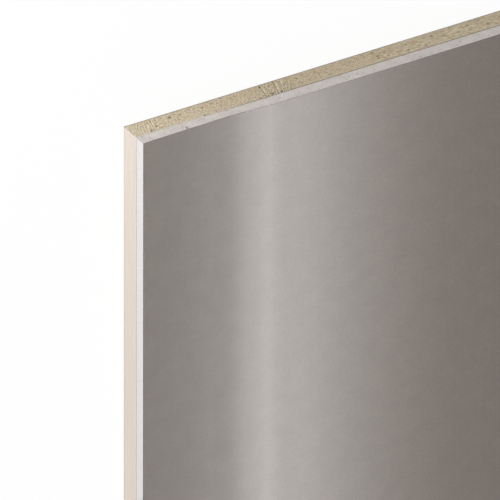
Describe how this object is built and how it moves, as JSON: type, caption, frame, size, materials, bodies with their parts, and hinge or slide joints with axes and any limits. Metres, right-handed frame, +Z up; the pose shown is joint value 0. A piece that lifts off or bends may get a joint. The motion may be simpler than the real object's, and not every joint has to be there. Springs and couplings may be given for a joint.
{
  "type": "insulated drywall sheet",
  "caption": "Flat drywall sheet with rigid foam bonded to its back: grey papered face, recessed paper-bound long edges and sawn ends; lines and insulates a wall.",
  "frame": {"origin": "middle of the underside, on the rear facing, where the sheet lies on the floor", "axes": "+X across the width, +Y along the length towards the sawn end with the knocked arris, +Z up through the thickness from the foam to the finished face"},
  "size_m": [1.2, 2.4, 0.0325],
  "materials": {
    "foam": "rigid closed-cell foam, cream, fine open pores where it is sawn",
    "facing": "thin grey mineral-fibre facing bonded to the foam",
    "gypsum": "set gypsum plaster, off-white, fine grain where it is sawn",
    "face_paper": "smooth grey liner paper, slight sheen, paler where it turns over the long edges",
    "back_paper": "coarse grey-brown liner paper"
  },
  "bodies": {
    "root": {"rear_facing": "facing", "insulation_core": "foam", "inner_facing": "facing", "back_paper": "back_paper", "gypsum_core": "gypsum", "face_paper": "face_paper"}
  },
  "joints": []
}
